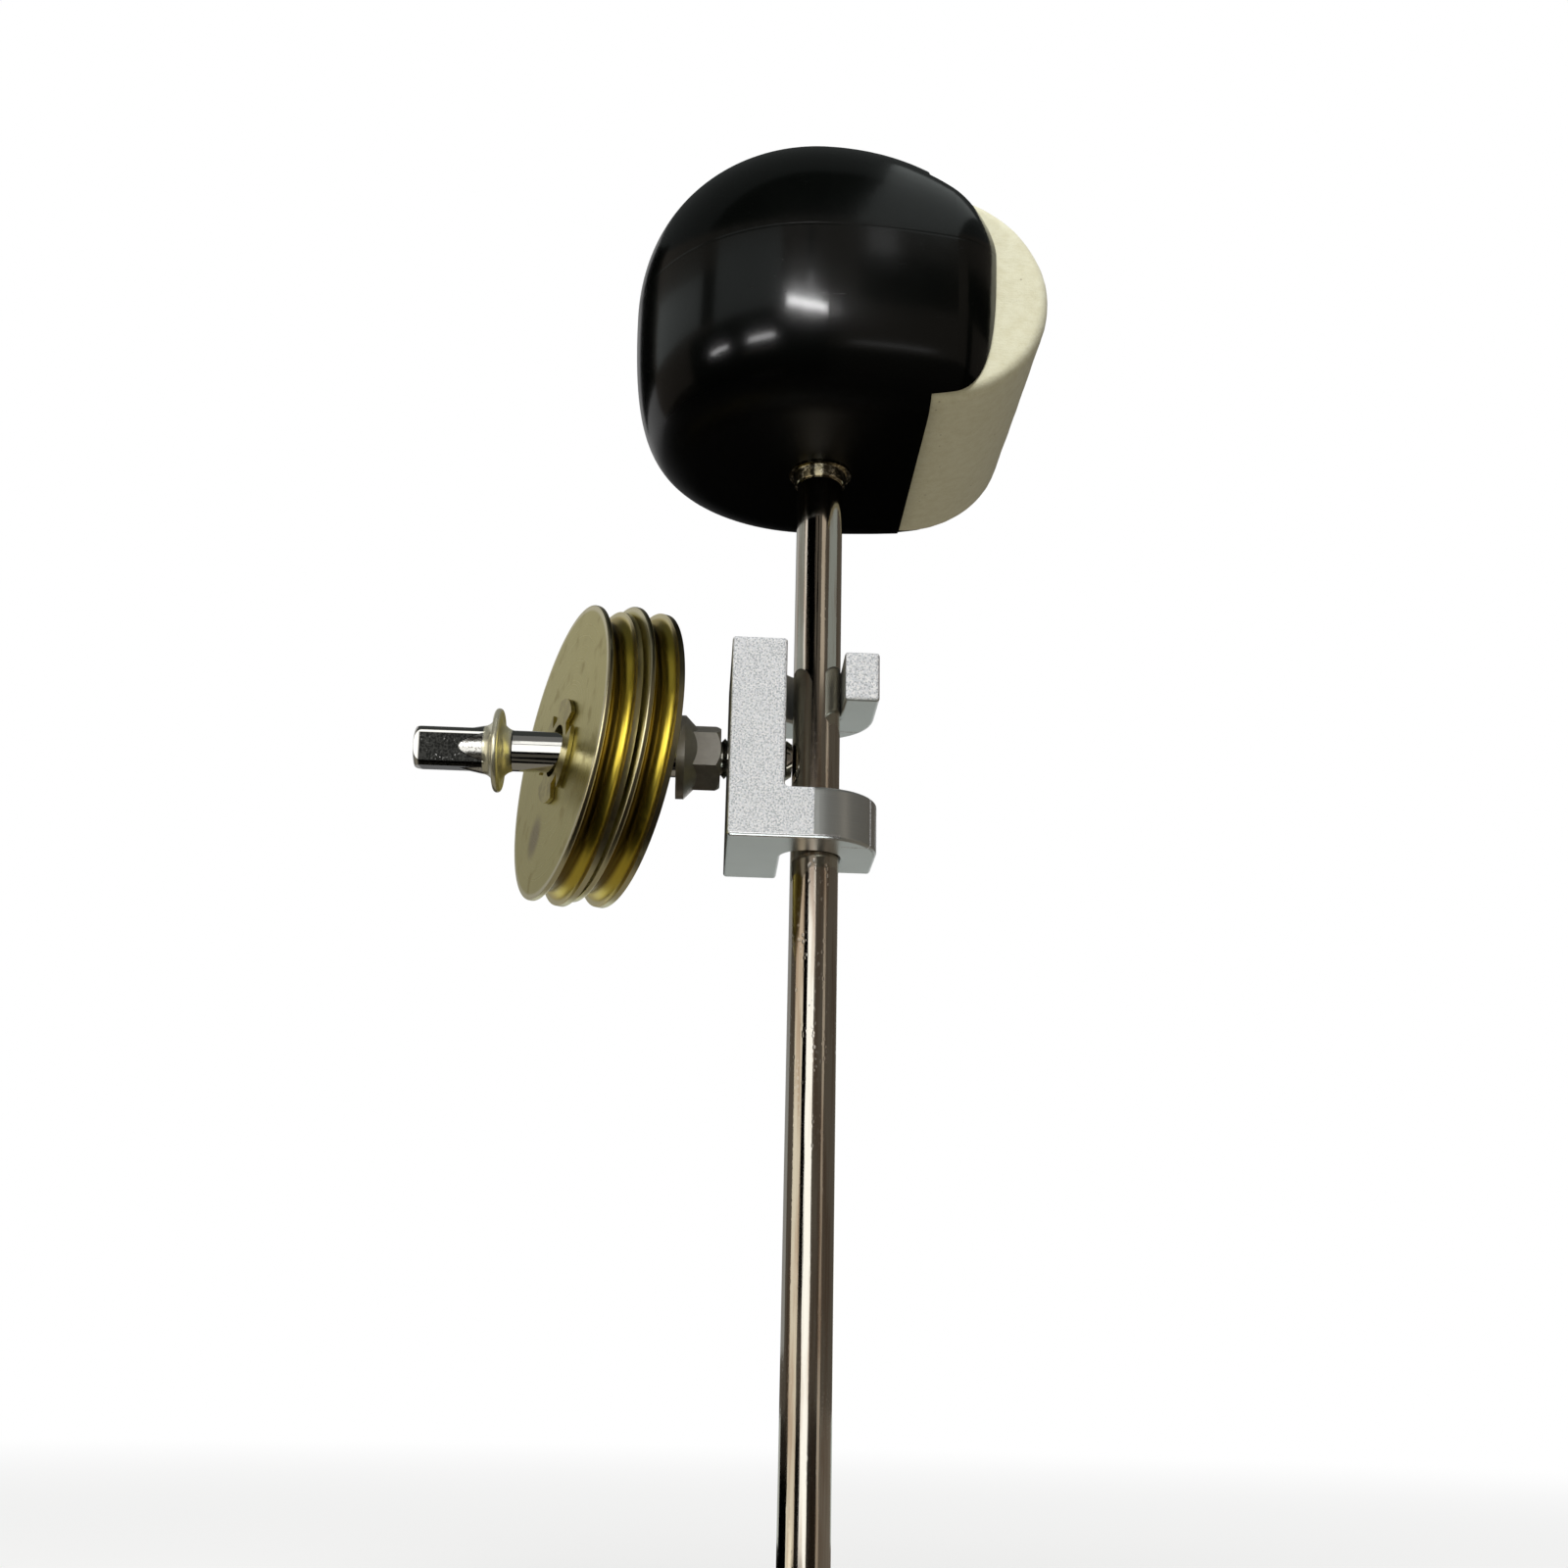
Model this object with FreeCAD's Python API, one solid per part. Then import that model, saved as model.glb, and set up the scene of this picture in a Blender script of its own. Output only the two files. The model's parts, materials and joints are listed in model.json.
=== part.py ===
import FreeCAD, Part
import math
import os

# Two-way bass drum beater: a head with a plastic and a felt side on a plated rod, and a hooked
# clamp on the rod whose key screw carries two cord sheaves.
# Millimetres. The origin is the centre of the rod's lower end and +Z runs up the rod.
# +X points from the screw's head towards the felt, and -Y is the front.

V = FreeCAD.Vector
UP = V(0, 0, 1)

# Shared clearances
overrun = 2.0               # how far a cut runs past the face that it opens
running_gap = 0.06          # radial gap of a part that turns or slides on another
thread_gap = 0.05           # radial gap of a nut or a tapped hole round its screw
face_gap = 0.08             # gap between flat faces that turn against each other
press_gap = 0.02            # radial gap of a bush that is pressed into its hole

# Rod
rod_diameter = 7.0
rod_chamfer = 0.8
rod_mark_height = 12.0      # ring groove that shows how far the rod goes into its holder
rod_mark_width = 0.6
rod_mark_depth = 0.25
rod_socket_depth = 11.0     # how far the full rod enters the head
stud_diameter = 6.0         # threaded top of the rod
stud_length = 13.0
stud_chamfer = 0.6

# Head, with heights counted from its underside
head_height = 175.4         # the underside above the rod's lower end
head_half_width = 28.4
head_wall_height = 25.2     # barrel-shaped wall, up to the seam under the dome
head_dome_height = 26.4
head_bottom_reach = 10.0    # how far in from the side the underside begins to curve up
head_bottom_share = 0.68    # how full the curve is at the underside
head_wall_share = 0.79      # how far down from the seam the wall stays upright
head_rise_share = 0.64      # how upright the dome starts at the seam
head_crown_share = 0.58     # how flat the dome ends at its top
head_round_centre = -1.0    # X of the middle of the round striking end
head_side_curve = 96.0      # radius of the sides' curve, seen from above
head_top_drop = 9.9         # how far the top's even curve comes down at the cheeks' ends
head_top_fall = 7.0         # how much further the top falls there, close to the ends
head_section_shares = [0, 0.25, 0.5, 0.75, 1]
head_end_turns = [0, 20, 40, 60, 80]    # degrees of the rounded end where it has a section
head_cheek_reach = 26.3     # X where the cheeks' rounded ends would close
head_cheek_round = 8.4
head_shell = 3.0
cap_lip_gap = 0.1
cap_lip_wall = 1.5
cap_lip_height = 3.0
boss_diameter = 16.0
boss_height = 15.0
stud_hole_gap = 0.2

# Felt pad, a half-round log that lies across the head
felt_seat = 14.4            # X of the flat seat
felt_radius = 17.5
felt_axis_height = 18.8
felt_length = 44.0
felt_side_gap = 0.3
felt_edge_round = 1.2
felt_seat_wall = 3.0

# Ferrule in the underside of the head
ferrule_rim_diameter = 9.6
ferrule_rim_height = 0.5
ferrule_nose_diameter = 8.4     # under the rim, from where it tapers
ferrule_nose_end = 7.7          # diameter of its lower end
ferrule_nose_height = 2.2       # how far it stands out of the head
ferrule_sleeve_diameter = 8.6
ferrule_sleeve_length = 8.0

# Washers and nut on the rod's stud, inside the head
head_washer_diameter = 12.5
head_washer_height = 1.2
lock_washer_diameter = 11.0
lock_washer_height = 1.6
lock_washer_slit = 1.0
head_nut_flats = 10.0
head_nut_height = 5.0
nut_chamfer = 0.7

# Clamp block
clamp_height = 128.0        # the screw's axis above the rod's lower end
clamp_tall = 29.8
clamp_deep = 22.4
clamp_plate_thickness = 7.9
clamp_hook_tall = 7.5
clamp_hook_wall = 5.1       # finger between the rod's slot and the outer face
clamp_hook_round = 8.9
clamp_finger_setback = 4.3  # how far a finger ends before the plate's face
clamp_slot_width = 8.6
clamp_slot_front_wall = 6.6
clamp_slot_gap = 0.1        # gap between the rod and the finger that it is pressed against
clamp_edge_break = 0.5

# Key screw, with lengths along its axis
screw_tip_gap = 0.1
screw_thread_diameter = 6.0
screw_thread_pitch = 1.0
screw_thread_depth = 0.55
screw_tip_chamfer = 0.7
screw_shank_diameter = 6.0
screw_shank_length = 23.7
screw_collar_diameter = 12.3
screw_collar_width = 4.4    # between the feet of its hollow flanks
screw_collar_rim = 1.1      # width of its rounded rim
screw_flank_share = 0.27    # how hollow the flanks are: 0.5 is straight
screw_neck_diameter = 7.0   # beside the collar, from where it tapers to the square
screw_neck_length = 3.4
screw_square_side = 5.7
screw_square_length = 9.8
screw_square_turn = -10.0   # degrees that the square is turned, its front face a little downwards
screw_square_corner = 7.2   # diameter over the rounded corners
screw_square_end = 4.8      # diameter of the flat end inside its rounding
screw_square_taper = 1.2
screw_end_share = 0.3       # how full the end's rounding is: 0.5 is a chamfer

# Flange nut on the screw
flange_nut_standoff = 1.1   # gap to the clamp block
flange_nut_height = 6.4
flange_nut_flats = 8.6
flange_diameter = 12.3
flange_rim = 1.2
flange_slope = 1.8

# Sheaves, with lengths along their own axis
sheave_diameter = 44.0
sheave_sheet = 0.8
sheave_width = 5.0
sheave_gap = 0.4
sheave_edge_round = 0.25
groove_shoulder_drop = 0.4  # how far the groove's shoulders lie under the rim
groove_depth = 1.9
sheave_hub_place = 16.4     # from the nut's flange to the middle of the outer hub
sheave_yaw = 20.0           # degrees that the loose sheaves lean towards the front
sheave_droop = 4.5          # degrees that they lean upwards at the outer side

# Hub bush of a sheave
bush_bore = 7.8
bush_tube_diameter = 9.0
bush_flange_diameter = 13.0
bush_flange_sheet = 0.6
bush_petal_diameter = 15.6
bush_petal_count = 4
bush_petal_slit = 2.6
bush_petal_root = 10.4      # diameter where the slits between the petals end

# Places that follow from the sizes
rod_radius = rod_diameter / 2
slot_right = rod_radius + clamp_slot_gap
slot_left = slot_right - clamp_slot_width
plate_left = slot_left - clamp_plate_thickness
nut_start = -plate_left + flange_nut_standoff
nut_end = nut_start + flange_nut_height
shank_end = nut_end + screw_shank_length
seam_height = head_height + head_wall_height


def line(start, end):
    return Part.LineSegment(start, end).toShape()


def arc(start, middle, end):
    return Part.Arc(start, middle, end).toShape()


def bezier(poles):
    curve = Part.BezierCurve()
    curve.setPoles(poles)
    return curve.toShape()


def face_of(edges):
    return Part.Face(Part.Wire(edges))


def turned(points, axis=UP):
    """Solid of revolution of a closed outline of (radius, height) points round the Z axis."""
    corners = [V(radius, 0, height) for radius, height in points]
    return Part.Face(Part.makePolygon(corners + corners[:1])).revolve(V(), axis, 360)


def block(low, high):
    """Box between two corners."""
    return Part.makeBox(high.x - low.x, high.y - low.y, high.z - low.z, low)


def tube(outer, inner, low, high):
    """Ring of two diameters between two heights."""
    return turned([(inner / 2, low), (outer / 2, low), (outer / 2, high), (inner / 2, high)])


def hexagon(flats, low, high):
    """Hexagonal prism with its chamfered corners, as a nut has them."""
    radius = flats / 2 / math.cos(math.pi / 6)
    corners = [V(radius * math.cos(k * math.pi / 3), radius * math.sin(k * math.pi / 3), low) for k in range(7)]
    prism = Part.Face(Part.makePolygon(corners)).extrude(V(0, 0, high - low))
    flat = flats / 2
    rounding = [(0, low), (flat, low), (radius, low + nut_chamfer), (radius, high - nut_chamfer), (flat, high), (0, high)]
    return prism.common(turned(rounding))


# Rod

def make_rod():
    shoulder = head_height + rod_socket_depth
    top = shoulder + stud_length
    stud_radius = stud_diameter / 2
    return turned([
        (0, 0),
        (rod_radius - rod_chamfer, 0),
        (rod_radius, rod_chamfer),
        (rod_radius, rod_mark_height),
        (rod_radius - rod_mark_depth, rod_mark_height + rod_mark_width / 2),
        (rod_radius, rod_mark_height + rod_mark_width),
        (rod_radius, shoulder),
        (stud_radius, shoulder),
        (stud_radius, top - stud_chamfer),
        (stud_radius - stud_chamfer, top),
        (0, top),
    ])


# Head

def head_profile(inset, along):
    """Half outline across the head, from its underside's middle to its top's middle, at a way along from the round end."""
    x = head_round_centre + along
    share = along / (head_cheek_reach - head_round_centre)
    width = head_half_width - along ** 2 / (2 * head_side_curve) - inset
    edge = width - head_bottom_reach
    low = head_height + inset
    wall = seam_height - low
    dome = head_dome_height - head_top_drop * share ** 2 - head_top_fall * share ** 4 - inset
    top = seam_height + dome
    return [
        line(V(x, 0, low), V(x, edge, low)),
        bezier([
            V(x, edge, low),
            V(x, edge + head_bottom_reach * head_bottom_share, low),
            V(x, width, seam_height - wall * head_wall_share),
            V(x, width, seam_height),
        ]),
        bezier([
            V(x, width, seam_height),
            V(x, width, seam_height + dome * head_rise_share),
            V(x, width * head_crown_share, top),
            V(x, 0, top),
        ]),
    ]


def head_section(inset, along):
    """Whole closed outline across the head."""
    side = head_profile(inset, along)
    other_side = [edge.mirror(V(), V(0, 1, 0)) for edge in side]
    return Part.Wire(side + other_side[::-1])


def head_form(inset, reach, end_round):
    """The head's outside, drawn in by inset: half a turned body at the striking end, then a loft to X = reach."""
    half = head_profile(inset, 0)
    closing = line(half[-1].Vertexes[-1].Point, half[0].Vertexes[0].Point)
    round_end = face_of(half + [closing]).revolve(V(head_round_centre, 0, 0), UP, 180)
    straight = reach - end_round - head_round_centre
    sides = Part.makeLoft([head_section(inset, straight * share) for share in head_section_shares], True)
    form = round_end.fuse(sides)
    if end_round:
        sections = []
        for turn in head_end_turns:
            angle = math.radians(turn)
            drawn_in = inset + end_round * (1 - math.cos(angle))
            sections.append(head_section(drawn_in, straight + end_round * math.sin(angle)))
        form = form.fuse(Part.makeLoft(sections, True))
    return form.removeSplitter()


def head_outside():
    """The head's whole outside with its cheeks rounded and the felt's channel cut between them."""
    form = head_form(0, head_cheek_reach, head_cheek_round)
    half_channel = felt_length / 2 + felt_side_gap
    top = seam_height + head_dome_height
    low = V(felt_seat, -half_channel, head_height - overrun)
    high = V(head_cheek_reach + overrun, half_channel, top + overrun)
    return form.cut(block(low, high))


def above_seam(height):
    """Slab round the head above a height, to part the dome from the body."""
    far = head_half_width + head_cheek_reach
    return block(V(-far, -far, height), V(far, far, seam_height + head_dome_height + overrun))


def cavity(inset):
    """Hollow of the head, with walls of inset and the felt's seat wall left standing."""
    return head_form(inset, felt_seat - felt_seat_wall - (inset - head_shell), 0)


def make_head_body():
    body = head_outside().cut(above_seam(seam_height)).cut(cavity(head_shell))
    boss = Part.makeCylinder(boss_diameter / 2, boss_height, V(0, 0, head_height))
    socket = Part.makeCylinder(
        rod_radius + running_gap, rod_socket_depth + face_gap + overrun, V(0, 0, head_height - overrun))
    sleeve_hole = Part.makeCylinder(
        ferrule_sleeve_diameter / 2 + press_gap, ferrule_sleeve_length + overrun, V(0, 0, head_height - overrun))
    stud_hole = Part.makeCylinder(
        stud_diameter / 2 + stud_hole_gap, boss_height + overrun, V(0, 0, head_height))
    body = body.fuse(boss).removeSplitter()
    return body.cut(socket).cut(sleeve_hole).cut(stud_hole)


def make_head_cap():
    lip_outside = head_shell + cap_lip_gap
    cap = head_outside().common(above_seam(seam_height))
    lip = cavity(lip_outside).common(above_seam(seam_height - cap_lip_height))
    return cap.fuse(lip).cut(cavity(lip_outside + cap_lip_wall)).removeSplitter()


def make_felt_pad():
    start = V(felt_seat, -felt_length / 2, head_height + felt_axis_height)
    log = Part.makeCylinder(felt_radius, felt_length, start, V(0, 1, 0))
    far = felt_radius + overrun
    low = V(felt_seat, -felt_length, start.z - far)
    pad = log.common(block(low, V(felt_seat + far, felt_length, start.z + far)))
    ends = [edge for edge in pad.Edges if edge.Curve.TypeId == "Part::GeomCircle"]
    return pad.makeFillet(felt_edge_round, ends)


def make_rod_ferrule():
    """Sleeve in the head with a thin rim on the underside and a tapered nose round the rod."""
    bore = rod_radius + running_gap
    rim_low = head_height - ferrule_rim_height
    nose_low = head_height - ferrule_nose_height
    sleeve_top = head_height + ferrule_sleeve_length
    return turned([
        (bore, nose_low),
        (ferrule_nose_end / 2, nose_low),
        (ferrule_nose_diameter / 2, rim_low),
        (ferrule_rim_diameter / 2, rim_low),
        (ferrule_rim_diameter / 2, head_height),
        (ferrule_sleeve_diameter / 2, head_height),
        (ferrule_sleeve_diameter / 2, sleeve_top),
        (bore, sleeve_top),
    ])


def make_head_fasteners():
    """Washer, lock washer and nut, stacked on the boss round the stud."""
    bore = stud_diameter + 2 * thread_gap
    washer_low = head_height + boss_height + face_gap
    lock_low = washer_low + head_washer_height
    nut_low = lock_low + lock_washer_height
    washer = tube(head_washer_diameter, bore, washer_low, lock_low)
    slit_high = V(lock_washer_diameter, lock_washer_slit / 2, nut_low + overrun)
    slit = block(V(0, -lock_washer_slit / 2, lock_low - overrun), slit_high)
    lock_washer = tube(lock_washer_diameter, bore, lock_low, nut_low).cut(slit)
    nut = hexagon(head_nut_flats, nut_low, nut_low + head_nut_height)
    nut = nut.cut(Part.makeCylinder(bore / 2, head_nut_height + 2 * overrun, V(0, 0, nut_low - overrun)))
    return {"head_washer": washer, "head_lock_washer": lock_washer, "head_nut": nut}


# Clamp

def clamp_hook():
    """Lower hook: a finger that goes round the front of the rod and ends towards the back."""
    half_deep = clamp_deep / 2
    low = clamp_height - clamp_tall / 2
    outer = slot_right + clamp_hook_wall
    hook = block(V(slot_left, -half_deep, low), V(outer, half_deep - clamp_finger_setback, low + clamp_hook_tall))
    corner = [edge for edge in hook.Edges
              if edge.BoundBox.XMin > slot_right and edge.BoundBox.YMax < 0 and edge.BoundBox.ZLength > 0
              and edge.BoundBox.XLength < clamp_edge_break and edge.BoundBox.YLength < clamp_edge_break]
    hook = hook.makeFillet(clamp_hook_round, corner)
    slot_radius = clamp_slot_width / 2
    middle = V(slot_left + slot_radius, clamp_slot_front_wall - half_deep + slot_radius, low - overrun)
    cut_tall = clamp_hook_tall + 2 * overrun
    slot = Part.makeCylinder(slot_radius, cut_tall, middle)
    mouth = block(V(slot_left, middle.y, middle.z), V(slot_right, half_deep + overrun, middle.z + cut_tall))
    return hook.cut(slot.fuse(mouth))


def make_rod_clamp():
    half_deep = clamp_deep / 2
    half_tall = clamp_tall / 2
    plate = block(V(plate_left, -half_deep, clamp_height - half_tall), V(slot_left, half_deep, clamp_height + half_tall))
    lower = clamp_hook()
    upper = lower.copy()
    upper.rotate(V(0, 0, clamp_height), V(1, 0, 0), 180)
    clamp = plate.fuse([lower, upper]).removeSplitter()
    clamp = clamp.makeFillet(clamp_edge_break, clamp.Edges)
    bore = Part.makeCylinder(
        screw_thread_diameter / 2 + thread_gap, clamp_plate_thickness + 2 * overrun,
        V(plate_left - overrun, 0, clamp_height), V(1, 0, 0))
    return clamp.cut(bore)


def along_screw(shape):
    """Carries a shape made along +Z from the rod's axis to the screw's axis, which runs towards -X."""
    placed = shape.copy()
    placed.Placement = FreeCAD.Placement(V(0, 0, clamp_height), FreeCAD.Rotation(UP, V(-1, 0, 0)))
    return placed


def make_screw_collar(foot, middle):
    """Collar with hollow flanks and a rounded rim, and the neck that tapers from it to the square."""
    rim = screw_collar_diameter / 2 - screw_collar_rim / 2
    shank = screw_shank_diameter / 2
    neck = screw_neck_diameter / 2
    half_rim = screw_collar_rim / 2
    hollow = (middle - half_rim - foot) * screw_flank_share
    neck_start = 2 * middle - foot
    neck_end = neck_start + screw_neck_length
    square = screw_square_side / 2
    return face_of([
        line(V(0, 0, foot), V(shank, 0, foot)),
        arc(V(shank, 0, foot), V(shank + (rim - shank) * screw_flank_share, 0, middle - half_rim - hollow),
            V(rim, 0, middle - half_rim)),
        arc(V(rim, 0, middle - half_rim), V(screw_collar_diameter / 2, 0, middle), V(rim, 0, middle + half_rim)),
        arc(V(rim, 0, middle + half_rim), V(neck + (rim - neck) * screw_flank_share, 0, middle + half_rim + hollow),
            V(neck, 0, neck_start)),
        line(V(neck, 0, neck_start), V(square, 0, neck_end)),
        line(V(square, 0, neck_end), V(0, 0, neck_end)),
        line(V(0, 0, neck_end), V(0, 0, foot)),
    ]).revolve(V(), UP, 360)


def make_screw_square(start, end):
    """Square for the drum key, with rounded corners and a rounded end."""
    half = screw_square_side / 2
    square = block(V(-half, -half, start), V(half, half, end))
    square.rotate(V(), UP, screw_square_turn)
    corner = screw_square_corner / 2
    flat = screw_square_end / 2
    taper = end - screw_square_taper
    rounding = face_of([
        line(V(0, 0, start), V(corner, 0, start)),
        line(V(corner, 0, start), V(corner, 0, taper)),
        arc(V(corner, 0, taper),
            V(corner - (corner - flat) * screw_end_share, 0, end - screw_square_taper * screw_end_share),
            V(flat, 0, end)),
        line(V(flat, 0, end), V(0, 0, end)),
        line(V(0, 0, end), V(0, 0, start)),
    ]).revolve(V(), UP, 360)
    return square.common(rounding)


def make_key_screw():
    crest = screw_thread_diameter / 2
    root = crest - screw_thread_depth
    shank = screw_shank_diameter / 2
    tip = rod_radius + screw_tip_gap
    turns = int((nut_end - tip - screw_tip_chamfer) / screw_thread_pitch)
    first = nut_end - turns * screw_thread_pitch
    thread = []
    for turn in range(turns):
        thread.append((crest, first + turn * screw_thread_pitch))
        thread.append((root, first + (turn + 1 / 2) * screw_thread_pitch))
    collar_middle = shank_end + screw_collar_width / 2
    collar_end = shank_end + screw_collar_width
    axle = turned([(0, tip), (root, tip)] + thread + [(shank, nut_end), (shank, collar_middle), (0, collar_middle)])
    collar = make_screw_collar(shank_end, collar_middle)
    square = make_screw_square(collar_middle, collar_end + screw_square_length)
    return along_screw(axle.fuse([collar, square]).removeSplitter())


def make_flange_nut():
    bore = screw_thread_diameter / 2 + thread_gap
    flat = flange_nut_flats / 2
    flange = flange_diameter / 2
    nut = hexagon(flange_nut_flats, nut_start, nut_end - flange_rim)
    skirt = turned([
        (bore, nut_end - flange_rim - flange_slope),
        (flat, nut_end - flange_rim - flange_slope),
        (flange, nut_end - flange_rim),
        (flange, nut_end),
        (bore, nut_end),
    ])
    hole = Part.makeCylinder(bore, flange_nut_height + 2 * overrun, V(0, 0, nut_start - overrun))
    return along_screw(nut.fuse(skirt).cut(hole).removeSplitter())


# Sheaves, each made along +Z with the outside of its disc at height 0

def make_disc():
    hole = bush_tube_diameter + 2 * running_gap
    disc = tube(sheave_diameter, hole, 0, sheave_sheet)
    rims = [edge for edge in disc.Edges if edge.Curve.TypeId == "Part::GeomCircle"
            and edge.Curve.Radius > bush_petal_diameter]
    return disc.makeFillet(sheave_edge_round, rims)


def make_groove_pan():
    """Pressed sheet: a flat web, a half-round groove and a flange up to the rim."""
    hole = bush_tube_diameter / 2 + running_gap
    rim = sheave_diameter / 2
    shoulder = rim - groove_shoulder_drop
    floor = rim - groove_depth
    low = sheave_sheet
    flange_low = sheave_width - sheave_sheet
    middle = sheave_width / 2
    half = flange_low - middle
    groove_radius = (half ** 2 + (shoulder - floor) ** 2) / (2 * (shoulder - floor))
    centre = floor + groove_radius
    back_radius = groove_radius + sheave_sheet
    web_high = low + sheave_sheet
    back_low = centre - math.sqrt(back_radius ** 2 - (middle - web_high) ** 2)
    back_high = centre - math.sqrt(back_radius ** 2 - (sheave_width - middle) ** 2)
    return face_of([
        line(V(hole, 0, low), V(shoulder, 0, low)),
        arc(V(shoulder, 0, low), V(floor, 0, middle), V(shoulder, 0, flange_low)),
        line(V(shoulder, 0, flange_low), V(rim, 0, flange_low)),
        line(V(rim, 0, flange_low), V(rim, 0, sheave_width)),
        line(V(rim, 0, sheave_width), V(back_high, 0, sheave_width)),
        arc(V(back_high, 0, sheave_width), V(centre - back_radius, 0, middle), V(back_low, 0, web_high)),
        line(V(back_low, 0, web_high), V(hole, 0, web_high)),
        line(V(hole, 0, web_high), V(hole, 0, low)),
    ]).revolve(V(), UP, 360)


def make_hub_bush():
    """Flanged tube: a plain flange inside the pan and four turned-over petals outside the disc."""
    bore = bush_bore / 2
    outside = bush_tube_diameter / 2
    petal_low = -face_gap - bush_flange_sheet
    inner_low = 2 * sheave_sheet + face_gap
    bush = turned([
        (bore, petal_low),
        (bush_petal_diameter / 2, petal_low),
        (bush_petal_diameter / 2, -face_gap),
        (outside, -face_gap),
        (outside, inner_low),
        (bush_flange_diameter / 2, inner_low),
        (bush_flange_diameter / 2, inner_low + bush_flange_sheet),
        (bore, inner_low + bush_flange_sheet),
    ])
    for petal in range(bush_petal_count):
        slit = block(
            V(bush_petal_root / 2, -bush_petal_slit / 2, petal_low - overrun),
            V(bush_petal_diameter, bush_petal_slit / 2, -face_gap / 2))
        slit.rotate(V(), UP, 360 * petal / bush_petal_count)
        bush = bush.cut(slit)
    return bush


def lean_axis():
    """Direction of the leaning sheaves' axis, from the outer to the inner side."""
    yaw = math.radians(sheave_yaw)
    droop = math.radians(sheave_droop)
    return V(math.cos(droop) * math.cos(yaw), math.cos(droop) * math.sin(yaw), -math.sin(droop))


def make_sheave(name, steps_in):
    """One sheave, leaning on the shank, with the middle of its hub on the screw's axis."""
    axis = lean_axis()
    step = (sheave_width + sheave_gap) / axis.x
    hub = V(-nut_end - sheave_hub_place + steps_in * step, 0, clamp_height)
    placement = FreeCAD.Placement(hub - axis * sheave_sheet, FreeCAD.Rotation(UP, axis))
    pieces = {"disc": make_disc(), "groove_pan": make_groove_pan(), "hub_bush": make_hub_bush()}
    for piece in pieces.values():
        piece.Placement = placement
    print(name, "hub at", [round(value, 4) for value in hub], "axis", [round(value, 6) for value in axis])
    return {f"{name}_{key}": piece for key, piece in pieces.items()}


nodes = {
    "rod": make_rod(),
    "head_body": make_head_body(),
    "head_cap": make_head_cap(),
    "felt_pad": make_felt_pad(),
    "rod_ferrule": make_rod_ferrule(),
    "rod_clamp": make_rod_clamp(),
    "key_screw": make_key_screw(),
    "flange_nut": make_flange_nut(),
}
nodes.update(make_head_fasteners())
nodes.update(make_sheave("outer", 0))
nodes.update(make_sheave("inner", 1))

os.makedirs("parts", exist_ok=True)
for name, shape in nodes.items():
    print(name, "solids", len(shape.Solids), "valid", shape.isValid(), "volume", round(shape.Volume, 1))
    shape.exportStep(f"parts/{name}.step")
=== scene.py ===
# %% [markdown]
# # A two-way bass drum beater
# A glossy black head with a half-round felt face sits on a plated rod. A hooked clamp on the
# rod holds a key screw, and two loose cord sheaves lean on that screw. The rigid shapes come
# from the CAD frame. This lesson adds the view, the light, the finishes and the felt.

# %% Load the frame
import json
import math

import bmesh
import bpy
import numpy as np
from mathutils import Matrix, Vector


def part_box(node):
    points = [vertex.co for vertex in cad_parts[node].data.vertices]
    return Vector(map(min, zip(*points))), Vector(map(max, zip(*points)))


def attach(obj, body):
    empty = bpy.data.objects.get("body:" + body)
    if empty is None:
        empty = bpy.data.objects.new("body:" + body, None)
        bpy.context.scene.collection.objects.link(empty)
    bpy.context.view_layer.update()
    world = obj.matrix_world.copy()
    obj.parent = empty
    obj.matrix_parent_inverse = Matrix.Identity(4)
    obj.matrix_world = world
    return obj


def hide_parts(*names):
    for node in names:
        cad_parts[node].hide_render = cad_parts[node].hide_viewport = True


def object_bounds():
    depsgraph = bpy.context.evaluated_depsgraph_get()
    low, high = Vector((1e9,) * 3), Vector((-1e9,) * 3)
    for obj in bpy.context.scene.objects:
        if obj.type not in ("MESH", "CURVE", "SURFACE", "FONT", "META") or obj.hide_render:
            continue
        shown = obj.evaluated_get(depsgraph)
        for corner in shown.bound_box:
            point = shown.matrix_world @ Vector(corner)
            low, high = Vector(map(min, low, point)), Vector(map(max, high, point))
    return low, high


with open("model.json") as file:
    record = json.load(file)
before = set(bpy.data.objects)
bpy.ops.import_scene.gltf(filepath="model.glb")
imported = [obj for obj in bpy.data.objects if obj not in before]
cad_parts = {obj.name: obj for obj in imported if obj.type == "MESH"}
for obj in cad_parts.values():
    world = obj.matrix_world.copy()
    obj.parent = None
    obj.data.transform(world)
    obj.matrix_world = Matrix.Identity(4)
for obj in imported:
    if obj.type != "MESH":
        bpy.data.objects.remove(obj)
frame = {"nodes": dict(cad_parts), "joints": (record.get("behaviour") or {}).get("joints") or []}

MM = 0.001
scene = bpy.context.scene
nodes = frame["nodes"]
cad_low, cad_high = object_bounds()


def in_mm(point):
    """A point's coordinates in millimetres, rounded for printing."""
    return [round(value / MM, 1) for value in point]


print("CAD box in mm", in_mm(cad_low), in_mm(cad_high))

# %% [markdown]
# ## The camera
# The beater is seen from in front and from below, as if it were held up. The camera's place
# and turn were found by laying the CAD outlines over the photograph. A camera looks along its
# own -Z, so its matrix is written from the right, up and backward directions of the view.

# %% Camera
azimuth, elevation, roll = (math.radians(v) for v in (2.8, 18.32, -1.224))
side_step, standing_back, lens_height = 4.59 * MM, 244.85 * MM, 43.47 * MM
sensor_width = 36.0
photo_width, focal_pixels = 1600, 1800

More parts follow.
